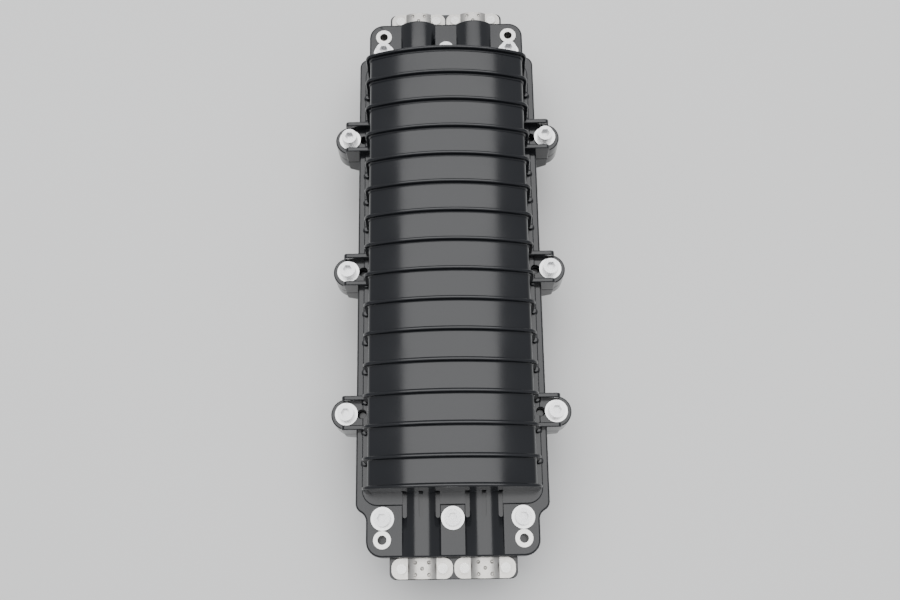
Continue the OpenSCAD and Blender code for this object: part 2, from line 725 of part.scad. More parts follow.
module splice_tray(i) color("#e8e9ea") translate(tray_hinge(i)) {
    translate([0, 0, -tray_h / 2]) {
        difference() {
            linear_extrude(tray_h) tray_outline(0);
            translate([0, 0, tray_wall]) linear_extrude(tray_h) tray_outline(tray_wall);
            translate([barrel_len - tray_half_w, 0, tray_wall])
                cube([2 * (tray_half_w - barrel_len), 3 * tray_h, tray_h]);
        }
        for (s = SIDES) translate([0, tray_floor_mid + s * drum_step, 0]) difference() {
            cylinder(r = drum_r, h = tray_h - tray_wall);
            translate([0, 0, tray_wall]) cylinder(r = drum_r - tray_wall, h = tray_h);
        }
        for (x = [0, 1], y = [0.2, 0.45, 0.7]) mirror([x, 0, 0])
            translate([tray_half_w - tab_len, y * tray_len, tray_h - tab_t])
                cube([tab_len - tray_wall / 2, tab_w, tab_t]);
    }
    for (side = [0, 1]) mirror([side, 0, 0]) {
        translate([tray_half_w - barrel_len, 0, 0]) {
            rotate([0, 90, 0]) cylinder(r = tray_h / 2, h = barrel_len);
            translate([0, 0, -tray_h / 2]) cube([barrel_len, tray_h / 2 + tray_wall, tray_h]);
        }
        translate([tray_half_w - bite, 0, 0]) rotate([0, 90, 0]) cylinder(r = pin_r, h = tray_gap + cheek_t);
    }
}

// A comb of ribs that grips the splice sleeves in the middle of a tray
module splice_holder(i) {
    ribs = floor((holder_w - holder_t) / holder_pitch);
    color("#c8d4dc") translate(tray_hinge(i)) translate([0, tray_floor_mid, tray_wall - tray_h / 2]) {
        linear_extrude(holder_t) rounded_rect(holder_w, holder_len, holder_t);
        for (k = [0 : ribs]) translate([(k - ribs / 2) * holder_pitch, 0, holder_h / 2])
            cube([holder_t, holder_len - 2 * holder_t, holder_h], center = true);
    }
}

module tray_lid() color([0.85, 0.9, 0.93, 0.35])
    translate(tray_hinge(tray_count - 1)) translate([0, 0, tray_h / 2]) linear_extrude(lid_t) tray_outline(0);

// ---------------------------------------------------------------- nodes

lower_shell();
upper_shell();
sealing_strips();
port_seal(0);  // port_seal_1
port_seal(1);  // port_seal_2
port_seal(2);  // port_seal_3
port_seal(3);  // port_seal_4
clamp_plate(0);  // clamp_plate_1
clamp_plate(1);  // clamp_plate_2
clamp_plate(2);  // clamp_plate_3
clamp_plate(3);  // clamp_plate_4
clamp_screws();
bolts(ear_places);  // side_bolts
washers(ear_places);  // side_washers
bolts(end_bolt_places);  // end_bolts
washers(end_bolt_places);  // end_washers
bolt_inserts();
threaded_bushes();
tray_carrier();
carrier_screws();
strength_clamp(0);  // strength_clamp_1
strength_clamp(1);  // strength_clamp_2
strength_clamp(2);  // strength_clamp_3
strength_clamp(3);  // strength_clamp_4
strength_screws();
splice_tray(0);  // splice_tray_1
splice_tray(1);  // splice_tray_2
splice_tray(2);  // splice_tray_3
splice_tray(3);  // splice_tray_4
splice_holder(0);  // splice_holder_1
splice_holder(1);  // splice_holder_2
splice_holder(2);  // splice_holder_3
splice_holder(3);  // splice_holder_4
tray_lid();
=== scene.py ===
import json
import math

import bmesh
import bpy
from mathutils import Matrix, Vector

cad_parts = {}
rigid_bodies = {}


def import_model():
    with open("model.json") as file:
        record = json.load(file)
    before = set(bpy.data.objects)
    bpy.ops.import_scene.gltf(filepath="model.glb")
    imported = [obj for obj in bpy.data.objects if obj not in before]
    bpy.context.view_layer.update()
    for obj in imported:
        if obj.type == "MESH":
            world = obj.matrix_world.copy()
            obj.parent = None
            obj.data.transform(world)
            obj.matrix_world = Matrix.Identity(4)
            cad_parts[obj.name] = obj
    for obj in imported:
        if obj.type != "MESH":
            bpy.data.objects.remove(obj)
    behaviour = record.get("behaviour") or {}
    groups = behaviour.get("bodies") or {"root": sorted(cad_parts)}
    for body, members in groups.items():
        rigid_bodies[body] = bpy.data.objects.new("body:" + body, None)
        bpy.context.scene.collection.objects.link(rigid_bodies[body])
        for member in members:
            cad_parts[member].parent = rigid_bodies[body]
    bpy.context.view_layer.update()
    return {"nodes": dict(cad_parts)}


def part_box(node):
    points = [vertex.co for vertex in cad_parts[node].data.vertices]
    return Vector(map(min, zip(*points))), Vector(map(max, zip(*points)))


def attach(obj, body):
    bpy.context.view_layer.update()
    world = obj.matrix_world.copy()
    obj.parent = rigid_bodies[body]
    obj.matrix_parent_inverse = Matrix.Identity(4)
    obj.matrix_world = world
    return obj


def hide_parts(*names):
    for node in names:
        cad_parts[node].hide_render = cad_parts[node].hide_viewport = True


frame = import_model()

scene_objects = bpy.context.scene.collection.objects

# ---------------------------------------------------------------- the studio
# A pale matt table, one large ceiling lamp, soft light from all round, and the camera
# above the near cable ports.
camera = bpy.data.objects.new("camera", bpy.data.cameras.new("camera"))
camera.location = (0.004281, -0.233242, 0.819447)
camera.rotation_euler = [math.radians(a) for a in (15.695, 0.538, -0.807)]
camera.data.lens = 40.43
camera.data.sensor_width = 36
scene_objects.link(camera)
bpy.context.scene.camera = camera

table_size = 3.0
table = bpy.data.objects.new("table", bpy.data.meshes.new("table"))
table.data.from_pydata(
    [(x * table_size, y * table_size, 0) for x, y in ((-1, -1), (1, -1), (1, 1), (-1, 1))],
    [],
    [(0, 1, 2, 3)],
)
scene_objects.link(table)
table_paint = bpy.data.materials.new("table_paint")
table_paint.use_nodes = True
table_nodes, table_links = table_paint.node_tree.nodes, table_paint.node_tree.links
table_shader = table_nodes["Principled BSDF"]
table_shader.inputs["Roughness"].default_value = 0.5
table_place = table_nodes.new("ShaderNodeTexCoord")
table_cloud = table_nodes.new("ShaderNodeTexNoise")
table_cloud.inputs["Scale"].default_value = 2.2
table_cloud.inputs["Detail"].default_value = 4
table_tone = table_nodes.new("ShaderNodeMix")
table_tone.data_type = "RGBA"
table_tone.inputs["A"].default_value = (0.78, 0.775, 0.76, 1)
table_tone.inputs["B"].default_value = (0.83, 0.83, 0.82, 1)
table_links.new(table_place.outputs["Object"], table_cloud.inputs["Vector"])
table_links.new(table_cloud.outputs["Fac"], table_tone.inputs["Factor"])
table_links.new(table_tone.outputs["Result"], table_shader.inputs["Base Color"])
table.data.materials.append(table_paint)

sky_place = (0.0, 0.5, 2.6)
sky = bpy.data.objects.new("sky", bpy.data.lights.new("sky", "AREA"))
sky.data.shape = "RECTANGLE"
sky.data.size, sky.data.size_y = 3.2, 2.6
sky.data.energy = 82
facing = (Vector() - Vector(sky_place)).to_track_quat("-Z", "Y")
sky.matrix_world = Matrix.Translation(sky_place) @ facing.to_matrix().to_4x4()
scene_objects.link(sky)

world = bpy.data.worlds.new("room")
bpy.context.scene.world = world
world.use_nodes = True
world.node_tree.nodes["Background"].inputs["Color"].default_value = (0.86, 0.88, 0.92, 1)
world.node_tree.nodes["Background"].inputs["Strength"].default_value = 0.66

# ---------------------------------------------------------------- the cover moulding
# Injection-moulded gloss black plastic: a crowned, ribbed vault on a flange with
# bolt ears, gussets and the upper halves of the four cable snouts.
# It lies face down on the base, and its tongue presses on the sealing strips.
mate_gap = 0.0003
split_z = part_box("threaded_bushes")[0].z - mate_gap
half_gap = mate_gap / 2
vault_half_w = 0.0636
vault_half_len = 0.169
cover_crown = 0.060
crown_r = 0.140
shoulder_r = 0.009
shoulder_x = vault_half_w - shoulder_r
crown_turn = math.degrees(math.asin(shoulder_x / (crown_r - shoulder_r)))
skin_t = 0.0028
end_wall_t = 0.003
rib_h = 0.0036
rib_t = 0.0024
rib_pitch = 0.02265
rib_places = [(i - 6.5) * rib_pitch for i in range(14)]
end_rib_y = vault_half_len - rib_t / 2
cavity_half_w = vault_half_w - rib_h - skin_t
cavity_half_len = vault_half_len - end_wall_t
flange_half_w = 0.0707
flange_end_half_w = 0.063
flange_half_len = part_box("upper_shell")[1].y
flange_t = 0.0136
neck_y = 0.176
neck_r = 0.0074
flange_corner_r = 0.0115
band_h = 0.0012
ear_x = 0.0779
ear_pitch = 0.1107
ear_r = 0.0116
gusset_step = 0.01095
gusset_t = 0.0035
gusset_h = 0.0215
gusset_x = 0.081
core_hole_step = 0.0114
port_x = 0.02275
snout_r = 0.0196
mouth_r = 0.0116
pocket_r = 0.0143
bush_places = [(x * 0.0511, y * 0.2022) for x in (-1, 1) for y in (-1, 1)]
ear_places = [(side * ear_x, i * ear_pitch) for side in (-1, 1) for i in (-1, 0, 1)]
end_places = [(i * 0.0509, end * 0.1872) for end in (-1, 1) for i in (-1, 0, 1)]
port_places = [(side * port_x, end) for end in (-1, 1) for side in (-1, 1)]
across = Matrix.Rotation(math.radians(90), 4, "X")
half_turn = Matrix.Rotation(math.radians(180), 4, "Z")


def arc(x, y, radius, start, end, steps=8):
    """Points on a circle about (x, y), from one angle to another in degrees."""
    turns = [math.radians(start + (end - start) * i / steps) for i in range(steps + 1)]
    return [Vector((x + radius * math.cos(a), y + radius * math.sin(a))) for a in turns]


def tidy_loop(points):
    """A closed outline without points that fall on each other."""
    kept = []
    for point in map(Vector, points):
        if not kept or (point - kept[-1]).length > 1e-6:
            kept.append(point)
    return kept[:-1] if (kept[0] - kept[-1]).length < 1e-6 else kept


def draw_in(loop, distance):
    """A closed anticlockwise outline moved inwards by a distance."""
    moved = []
    for before, here, after in zip(loop[-1:] + loop[:-1], loop, loop[1:] + loop[:1]):
        back, ahead = (here - before).normalized(), (after - here).normalized()
        left_back, left_ahead = Vector((-back.y, back.x)), Vector((-ahead.y, ahead.x))
        moved.append(here + (left_back + left_ahead) * (distance / (1 + left_back.dot(left_ahead))))
    return moved


def mesh_object(name, shape):
    """An object made from a bmesh whose faces all point outwards."""
    bmesh.ops.recalc_face_normals(shape, faces=shape.faces)
    mesh = bpy.data.meshes.new(name)
    shape.to_mesh(mesh)
    shape.free()
    thing = bpy.data.objects.new(name, mesh)
    scene_objects.link(thing)
    return thing


def slab(points, low, high, edge_low=0.0, edge_high=0.0, place=Matrix()):
    """A plate with this outline from low to high, with its lower and upper edges rounded."""
    loop = tidy_loop(points)
    steps = 3
    turns = [math.radians(90 * i / steps) for i in range(steps + 1)]
    below = [(edge_low * (1 - math.sin(a)), low + edge_low * (1 - math.cos(a))) for a in turns]
    above = [(edge_high * (1 - math.sin(a)), high - edge_high * (1 - math.cos(a))) for a in reversed(turns)]
    levels = (below if edge_low else [(0.0, low)]) + (above if edge_high else [(0.0, high)])
    shape = bmesh.new()
    rings = [
        [shape.verts.new(place @ Vector((p.x, p.y, z))) for p in draw_in(loop, inset)] for inset, z in levels
    ]
    for under, over in zip(rings, rings[1:]):
        for i in range(len(loop)):
            j = (i + 1) % len(loop)
            shape.faces.new((under[i], under[j], over[j], over[i]))
    shape.faces.new(reversed(rings[0]))
    shape.faces.new(rings[-1])
    return mesh_object("slab", shape)


def turned(profile, place=Matrix(), steps=48):
    """A solid turned about Z, from (radius, height) pairs that may start and end on the axis."""
    shape = bmesh.new()
    rings = []
    for radius, height in profile:
        count = 1 if radius == 0 else steps
        spots = [math.tau * i / steps for i in range(count)]
        rings.append([
            shape.verts.new(place @ Vector((radius * math.cos(a), radius * math.sin(a), height)))
            for a in spots
        ])
    closed = profile[0][0] > 0
    for ring, following in zip(rings, rings[1:] + (rings[:1] if closed else [])):
        for i in range(steps):
            j = (i + 1) % steps
            corners = [
                circle[k % len(circle)]
                for circle, k in ((ring, i), (ring, j), (following, j), (following, i))
            ]
            shape.faces.new(list(dict.fromkeys(corners)))
    return mesh_object("turned", shape)


def fuse(name, bodies, cutters=()):
    """One closed mesh object: all the bodies together, less all the cutters."""
    first = bodies[0]
    for operation, pieces in (("UNION", bodies[1:]), ("DIFFERENCE", cutters)):
        if pieces:
            group = bpy.data.collections.new(operation)
            for piece in pieces:
                group.objects.link(piece)
            step = first.modifiers.new(operation, "BOOLEAN")
            step.operation, step.solver = operation, "EXACT"
            step.operand_type, step.collection = "COLLECTION", group
    return plain_mesh(name, first, [*bodies[1:], *cutters])


def plain_mesh(name, source, spent=()):
    """An object's finished mesh as a new object; the source and the spent pieces go."""
    bpy.context.view_layer.update()
    seen = source.evaluated_get(bpy.context.evaluated_depsgraph_get())
    mesh = bpy.data.meshes.new_from_object(seen)
    for piece in [source, *spent]:
        bpy.data.objects.remove(piece)
    thing = bpy.data.objects.new(name, mesh)
    scene_objects.link(thing)
    return thing


def vault_outline(crown, inset, foot):
    """The vault seen from its end, from left foot over crown to right foot, drawn in by inset."""
    centre = crown - crown_r
    shoulder_z = centre + (crown_r - shoulder_r) * math.cos(math.radians(crown_turn))
    left = arc(-shoulder_x, shoulder_z, shoulder_r - inset, 180, 90 + crown_turn, 7)
    right = arc(shoulder_x, shoulder_z, shoulder_r - inset, 90 - crown_turn, 0, 7)
    middle = arc(0, centre, crown_r - inset, 90 + crown_turn, 90 - crown_turn, 40)
    feet = [Vector((side * (vault_half_w - inset), foot)) for side in (-1, 1)]
    return [feet[0], *left, *middle[1:-1], *right, feet[1]]


def rounded_rectangle(half_w, half_len, radius):
    """An anticlockwise rectangle with round corners."""
    x, y = half_w - radius, half_len - radius
    corners = ((x, y, 0), (-x, y, 90), (-x, -y, 180), (x, -y, 270))
    return [point for a, b, start in corners for point in arc(a, b, radius, start, start + 90)]


def flange_outline():
    """The flange's plan: parallel along the vault, drawn in at both ends by two arcs, with round corners."""
    neck_turn = math.degrees(math.acos(1 - (flange_half_w - flange_end_half_w) / (2 * neck_r)))
    neck_len = 2 * neck_r * math.sin(math.radians(neck_turn))
    corner = [
        *arc(flange_half_w - neck_r, neck_y, neck_r, 0, neck_turn),
        *arc(flange_end_half_w + neck_r, neck_y + neck_len, neck_r, 180 + neck_turn, 180),
        *arc(flange_end_half_w - flange_corner_r, flange_half_len - flange_corner_r, flange_corner_r, 0, 90),
    ]
    far_half = corner + [Vector((-p.x, p.y)) for p in reversed(corner)]
    return far_half + [Vector((p.x, -p.y)) for p in reversed(far_half)]


def half_bodies(crown, gusset_corner):
    """The solids that both halves share, standing on the split plane with the crown up."""
    bodies = [
        slab(reversed(vault_outline(crown, rib_h, half_gap)), -vault_half_len, vault_half_len, place=across),
        slab(flange_outline(), half_gap, flange_t, 0.0004, 0.0016),
        slab(rounded_rectangle(0.066, 0.178, 0.0115), half_gap, flange_t + band_h, 0, 0.0009),
    ]
    snout = arc(0, 0, snout_r, 0.45, 179.55, 36)
    for x, end in port_places:
        side = Matrix.Translation((x, 0, 0)) @ (half_turn if end > 0 else Matrix()) @ across
        bodies.append(slab(snout, cavity_half_len, flange_half_len + 0.0002, 0, 0.0014, side))
    for x, y in ear_places:
        side = Matrix.Translation((0, y, 0)) @ (half_turn if x < 0 else Matrix())
        ear = [(cavity_half_w, -ear_r), *arc(ear_x, 0, ear_r, -90, 90, 20), (cavity_half_w, ear_r)]
        bodies.append(slab(ear, half_gap, flange_t, 0.0004, 0.0011, side))
        for step in (-gusset_step, gusset_step):
            outline = [(0.0586, half_gap), (gusset_x, half_gap), *gusset_corner, (0.0586, gusset_h)]
            stand = side @ Matrix.Translation((0, step + gusset_t / 2, 0)) @ across
            bodies.append(slab(outline, 0, gusset_t, 0.0008, 0.0008, stand))
    return bodies


def along_y(x, end, profile):
    """A turned solid whose axis runs along Y at a port, towards that end of the closure."""
    side = Matrix.Translation((x, 0, 0)) @ (half_turn if end > 0 else Matrix()) @ across
    return turned(profile, side)


def half_cutters(crown):
    """The hollows that both halves share: the cavity, the ports and the cored slots on the snouts."""
    hollow = reversed(vault_outline(crown, rib_h + skin_t, -0.03))
    cutters = [slab(hollow, -cavity_half_len, cavity_half_len, place=across)]
    for x, end in port_places:
        mouth = [(0, 0.165), (mouth_r, 0.165), (mouth_r, 0.2137)]
        mouth += [(mouth_r + 0.0012, 0.2149), (mouth_r + 0.0012, 0.232), (0, 0.232)]
        cutters.append(along_y(x, end, mouth))
        cutters.append(along_y(x, end, [(0, 0.1709), (pocket_r, 0.1709), (pocket_r, 0.2011), (0, 0.2011)]))
        for step in (-0.012, 0, 0.012):
            floor = math.sqrt(snout_r**2 - step**2) - 0.003
            slot = [(-0.00165, 0.1645), (0.00165, 0.1645), *arc(0, 0.18535, 0.00165, 0, 180, 10)]
            side = Matrix.Translation((x + step, 0, 0)) @ (Matrix() if end > 0 else half_turn)
            cutters.append(slab(slot, floor, 0.03, place=side))
    return cutters


def bores(places, radius, low, high):
    """Plain round cutters at these places."""
    profile = [(0, low), (radius, low), (radius, high), (0, high)]
    return [turned(profile, Matrix.Translation((x, y, 0))) for x, y in places]


def ring_slab(half_w, half_len, radius, width, low, high):
    """A square-sectioned ring that follows a round-cornered rectangle."""
    outer = rounded_rectangle(half_w + width / 2, half_len + width / 2, radius + width / 2)
    inner = rounded_rectangle(half_w - width / 2, half_len - width / 2, radius - width / 2)
    return fuse("ring", [slab(outer, low, high)], [slab(inner, low - 0.001, high + 0.001)])


groove_half_w = cavity_half_w + 0.0067
groove_half_len = cavity_half_len + 0.0105
round_edge = [*arc(0.078, 0.0185, 0.003, 0, 90, 5)]
core_places = [(x - math.copysign(core_hole_step, x), y) for x, y in ear_places]
core_hole = [(0, 0.0056), (0.0026, 0.0056), (0.0032, 0.0062), (0.0032, 0.0130)]
core_hole += [(0.0036, 0.0136), (0.0036, 0.0180), (0, 0.0180)]
bolt_clear_r = 0.0044
bush_seat_r = 0.00645
groove_corner_r = 0.009
cover_cutters = half_cutters(cover_crown)
cover_cutters += bores(ear_places + end_places, bolt_clear_r, -0.001, 0.02)
cover_cutters += bores(bush_places, bush_seat_r, -0.001, 0.02)
cover_cutters += [turned(core_hole, Matrix.Translation((x, y, 0)), 24) for x, y in core_places]
cover_half = fuse("cover_half", half_bodies(cover_crown, round_edge), cover_cutters)
tongue_gap = [(0, 0.16), (0.0145, 0.16), (0.0145, 0.216), (0, 0.216)]
port_gaps = [along_y(x, end, tongue_gap) for x, end in port_places]
tongue_ring = ring_slab(groove_half_w, groove_half_len, groove_corner_r, 0.0046, -0.0023, 0.0003)
cover_tongue = fuse("tongue", [tongue_ring], port_gaps)


def empty_tree(name, inputs):
    """A geometry node tree with a geometry input and output and these named inputs."""
    tree = bpy.data.node_groups.new(name, "GeometryNodeTree")
    tree.interface.new_socket("Geometry", in_out="OUTPUT", socket_type="NodeSocketGeometry")
    tree.interface.new_socket("Geometry", in_out="INPUT", socket_type="NodeSocketGeometry")
    for label, kind in inputs:
        tree.interface.new_socket(label, in_out="INPUT", socket_type="NodeSocket" + kind)
    return tree


def link(tree, *pairs):
    """Joins each pair of sockets in a node tree."""
    for source, target in pairs:
        tree.links.new(source, target)


def made_by(tree, name, points, **values):
    """The plain mesh that a tree makes on an object, with its inputs set by socket identifier."""
    step = points.modifiers.new(tree.name, "NODES")
    step.node_group = tree
    for item in tree.interface.items_tree:
        if item.in_out == "INPUT" and item.name in values:
            step[item.identifier] = values[item.name]
    points.update_tag()
    return plain_mesh(name, points)


def point_cloud(places):
    """A mesh of loose points, each with the angle that what stands on it is turned by."""
    mesh = bpy.data.meshes.new("places")
    mesh.from_pydata([place[:3] for place in places], [], [])
    turn = mesh.attributes.new("turn", "FLOAT", "POINT")
    turn.data.foreach_set("value", [place[3] for place in places])
    thing = bpy.data.objects.new("places", mesh)
    scene_objects.link(thing)
    return thing


def wire(name, points, closed):
    """A straight-sided curve through 3D points."""
    curve = bpy.data.curves.new(name, "CURVE")
    curve.dimensions = "3D"
    spline = curve.splines.new("POLY")
    spline.points.add(len(points) - 1)
    spline.points.foreach_set("co", [value for p in points for value in (*p, 1.0)])
    spline.use_cyclic_u = closed
    thing = bpy.data.objects.new(name, curve)
    scene_objects.link(thing)
    return thing


# Sweeps a rib's section along the vault's outline, stands one rib on each point,
# and cuts them all off flat at the stand height.
rib_tree = empty_tree("vault_ribs", [
    ("Path", "Object"), ("Section", "Object"), ("Stand Height", "Float"), ("Finish", "Material"),
])
given, out = rib_tree.nodes.new("NodeGroupInput"), rib_tree.nodes.new("NodeGroupOutput")
path, section = rib_tree.nodes.new("GeometryNodeObjectInfo"), rib_tree.nodes.new("GeometryNodeObjectInfo")
upright = rib_tree.nodes.new("GeometryNodeSetCurveNormal")
upright.mode = "FREE"
upright.inputs["Normal"].default_value = (0, 1, 0)
sweep = rib_tree.nodes.new("GeometryNodeCurveToMesh")
sweep.inputs["Fill Caps"].default_value = True
turn = rib_tree.nodes.new("GeometryNodeInputNamedAttribute")
turn.data_type = "FLOAT"
turn.inputs["Name"].default_value = "turn"
spin = rib_tree.nodes.new("FunctionNodeAxisAngleToRotation")
stand = rib_tree.nodes.new("GeometryNodeInstanceOnPoints")
realize = rib_tree.nodes.new("GeometryNodeRealizeInstances")
where, split, cap = (rib_tree.nodes.new(kind) for kind in (
    "GeometryNodeInputPosition", "ShaderNodeSeparateXYZ", "ShaderNodeMath"))
cap.operation = "MINIMUM"
rebuilt, flatten = rib_tree.nodes.new("ShaderNodeCombineXYZ"), rib_tree.nodes.new("GeometryNodeSetPosition")
coat = rib_tree.nodes.new("GeometryNodeSetMaterial")
link(
    rib_tree,
    (given.outputs["Path"], path.inputs["Object"]),
    (given.outputs["Section"], section.inputs["Object"]),
    (path.outputs["Geometry"], upright.inputs["Curve"]),
    (upright.outputs["Curve"], sweep.inputs["Curve"]),
    (section.outputs["Geometry"], sweep.inputs["Profile Curve"]),
    (given.outputs["Geometry"], stand.inputs["Points"]),
    (sweep.outputs["Mesh"], stand.inputs["Instance"]),
    (turn.outputs["Attribute"], spin.inputs["Angle"]),
    (spin.outputs["Rotation"], stand.inputs["Rotation"]),
    (stand.outputs["Instances"], realize.inputs["Geometry"]),
    (where.outputs["Position"], split.inputs["Vector"]),
    (split.outputs["X"], rebuilt.inputs["X"]),
    (split.outputs["Y"], rebuilt.inputs["Y"]),
    (split.outputs["Z"], cap.inputs[0]),
    (given.outputs["Stand Height"], cap.inputs[1]),
    (cap.outputs["Value"], rebuilt.inputs["Z"]),
    (realize.outputs["Geometry"], flatten.inputs["Geometry"]),
    (rebuilt.outputs["Vector"], flatten.inputs["Position"]),
    (flatten.outputs["Geometry"], coat.inputs["Geometry"]),
    (given.outputs["Finish"], coat.inputs["Material"]),
    (coat.outputs["Geometry"], out.inputs["Geometry"]),
)

# Stands one copy of a fastener, foot or other small piece on each point.
stand_tree = empty_tree("stood_on_points", [("Piece", "Object"), ("Finish", "Material")])
given, out = stand_tree.nodes.new("NodeGroupInput"), stand_tree.nodes.new("NodeGroupOutput")
piece = stand_tree.nodes.new("GeometryNodeObjectInfo")
turn = stand_tree.nodes.new("GeometryNodeInputNamedAttribute")
turn.data_type = "FLOAT"
turn.inputs["Name"].default_value = "turn"
spin = stand_tree.nodes.new("FunctionNodeAxisAngleToRotation")
stand = stand_tree.nodes.new("GeometryNodeInstanceOnPoints")
realize = stand_tree.nodes.new("GeometryNodeRealizeInstances")
coat = stand_tree.nodes.new("GeometryNodeSetMaterial")
link(
    stand_tree,
    (given.outputs["Piece"], piece.inputs["Object"]),
    (given.outputs["Geometry"], stand.inputs["Points"]),
    (piece.outputs["Geometry"], stand.inputs["Instance"]),
    (turn.outputs["Attribute"], spin.inputs["Angle"]),
    (spin.outputs["Rotation"], stand.inputs["Rotation"]),
    (stand.outputs["Instances"], realize.inputs["Geometry"]),
    (realize.outputs["Geometry"], coat.inputs["Geometry"]),
    (given.outputs["Finish"], coat.inputs["Material"]),
    (coat.outputs["Geometry"], out.inputs["Geometry"]),
)


def rib_section(outer_root):
    """A rib's section from its buried root to its round tip; an end rib has no fillet on its outer side."""
    half, root, tip, sunk = rib_t / 2, 0.0011, 0.00095, 0.0005
    inner = [(half + root, -sunk), *arc(half + root, root - 0.00004, root, 270, 180, 4)]
    outer = inner if outer_root else [(half, -sunk)]
    side = [*arc(half - tip, rib_h - tip, tip, 0, 90, 4)]
    right = [Vector(p) for p in outer] + side
    left = [Vector((-p[0], p[1])) for p in reversed([Vector(p) for p in inner] + side)]
    return wire("rib_section", [(p.x, p.y, 0) for p in right + left], True)


def vault_ribs(crown, stand_height, finish):
    """All the ribs of one half, on the split plane."""
    path = wire("rib_path", [(p.x, 0, p.y) for p in vault_outline(crown, rib_h, 0.012)], False)
    rows = []
    for places, outer_root in (
        ([(0, y, 0, 0) for y in rib_places], True),
        ([(0, end_rib_y, 0, 0), (0, -end_rib_y, 0, math.pi)], False),
    ):
        section = rib_section(outer_root)
        rows.append(made_by(rib_tree, "ribs", point_cloud(places), **{
            "Path": path, "Section": section, "Stand Height": stand_height, "Finish": finish,
        }))
        bpy.data.objects.remove(section)
    bpy.data.objects.remove(path)
    return rows


def rib_feet(finish):
    """The round foot under each rib where it meets the flange."""
    profile = [(0, 0.012), (0.0034, 0.012), (0.0034, 0.0138), (0.0029, 0.0141), (0.0026, 0.0147)]
    profile += [(0.0026, 0.0167), (0.00235, 0.0173), (0.0018, 0.0176), (0, 0.0176)]
    foot = turned(profile, steps=20)
    places = [(x * vault_half_w, y, 0, 0) for x in (-1, 1) for y in rib_places]
    feet = made_by(stand_tree, "feet", point_cloud(places), Piece=foot, Finish=finish)
    bpy.data.objects.remove(foot)
    return feet


def gather(name, pieces, place=Matrix()):
    """One plain mesh object from several closed ones, put in place, with crisp flats and soft edges."""
    shape = bmesh.new()
    for piece in pieces:
        shape.from_mesh(piece.data)
        bpy.data.objects.remove(piece)
    for face in shape.faces:
        face.material_index = 0
    bmesh.ops.remove_doubles(shape, verts=shape.verts, dist=1e-6)
    bmesh.ops.transform(shape, matrix=place, verts=shape.verts)
    thing = mesh_object(name, shape)
    thing.data.shade_smooth()
    thing.data.set_sharp_from_angle(angle=math.radians(42))
    flats = thing.modifiers.new("flats", "WEIGHTED_NORMAL")
    flats.keep_sharp = True
    return plain_mesh(name, thing)


gloss_plastic = bpy.data.materials.new("gloss_plastic")
gloss_plastic.use_nodes = True
plastic_nodes = gloss_plastic.node_tree.nodes
plastic_shader = plastic_nodes["Principled BSDF"]
plastic_place = plastic_nodes.new("ShaderNodeTexCoord")
plastic_drawn = plastic_nodes.new("ShaderNodeMapping")
plastic_drawn.inputs["Scale"].default_value = (1, 0.12, 1)
plastic_haze = plastic_nodes.new("ShaderNodeTexNoise")
plastic_lines = plastic_nodes.new("ShaderNodeTexNoise")
plastic_haze.inputs["Scale"].default_value = 22
plastic_haze.inputs["Detail"].default_value = 5
plastic_lines.inputs["Scale"].default_value = 900
plastic_lines.inputs["Detail"].default_value = 2
plastic_tone = plastic_nodes.new("ShaderNodeMix")
plastic_gloss = plastic_nodes.new("ShaderNodeMapRange")
plastic_tone.data_type = "RGBA"
plastic_tone.inputs["A"].default_value = (0.0055, 0.006, 0.0075, 1)
plastic_tone.inputs["B"].default_value = (0.0095, 0.0105, 0.013, 1)
plastic_gloss.inputs["From Min"].default_value = 0.3
plastic_gloss.inputs["From Max"].default_value = 0.7
plastic_gloss.inputs["To Min"].default_value = 0.13
plastic_gloss.inputs["To Max"].default_value = 0.22
plastic_relief = plastic_nodes.new("ShaderNodeBump")
plastic_relief.inputs["Strength"].default_value = 0.12
plastic_relief.inputs["Distance"].default_value = 0.00001
link(
    gloss_plastic.node_tree,
    (plastic_place.outputs["Object"], plastic_haze.inputs["Vector"]),
    (plastic_place.outputs["Object"], plastic_drawn.inputs["Vector"]),
    (plastic_drawn.outputs["Vector"], plastic_lines.inputs["Vector"]),
    (plastic_haze.outputs["Fac"], plastic_tone.inputs["Factor"]),
    (plastic_tone.outputs["Result"], plastic_shader.inputs["Base Color"]),
    (plastic_haze.outputs["Fac"], plastic_gloss.inputs["Value"]),
    (plastic_gloss.outputs["Result"], plastic_shader.inputs["Roughness"]),
    (plastic_lines.outputs["Fac"], plastic_relief.inputs["Height"]),
    (plastic_relief.outputs["Normal"], plastic_shader.inputs["Normal"]),
)

cover = gather(
    "cover_moulding",
    [cover_half, cover_tongue, *vault_ribs(cover_crown, 1.0, gloss_plastic), rib_feet(gloss_plastic)],
    Matrix.Translation((0, 0, split_z)),
)
cover.data.materials.clear()
cover.data.materials.append(gloss_plastic)
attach(cover, "cover")
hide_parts("upper_shell")

# ---------------------------------------------------------------- the base moulding
# The same moulding turned over, with its ribs cut off flat to stand on, a gasket groove,
# posts for the tray carrier and a shelf beyond each end that the cable clamps are screwed to.
base_crown = 0.06174
shelf_half_w = 0.0465
shelf_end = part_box("lower_shell")[1].y
shelf_rise = 0.0023
shelf_corner_r = 0.005
clamp_head_r = 0.00365
clamp_pilot_r = 0.002
clamp_screw_x = 0.0149
clamp_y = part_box("clamp_screws")[1].y - clamp_head_r
clamp_screw_places = [(x + s * clamp_screw_x, end * clamp_y) for x, end in port_places for s in (-1, 1)]
insert_seat_r = 0.00605
post_r = 0.0045
post_places = [(x * 0.034, y * 0.118) for x in (-1, 1) for y in (-1, 1)]
post_profile = [(0, 0.016), (post_r, 0.016), (post_r, 0.054), (0, 0.054)]
cut_edge = [
    (gusset_x, flange_t - 0.0008),
    (gusset_x - 0.0006, flange_t + 0.0006),
    (gusset_x - 0.01015, gusset_h - 0.0006),
    (gusset_x - 0.0119, gusset_h),
]
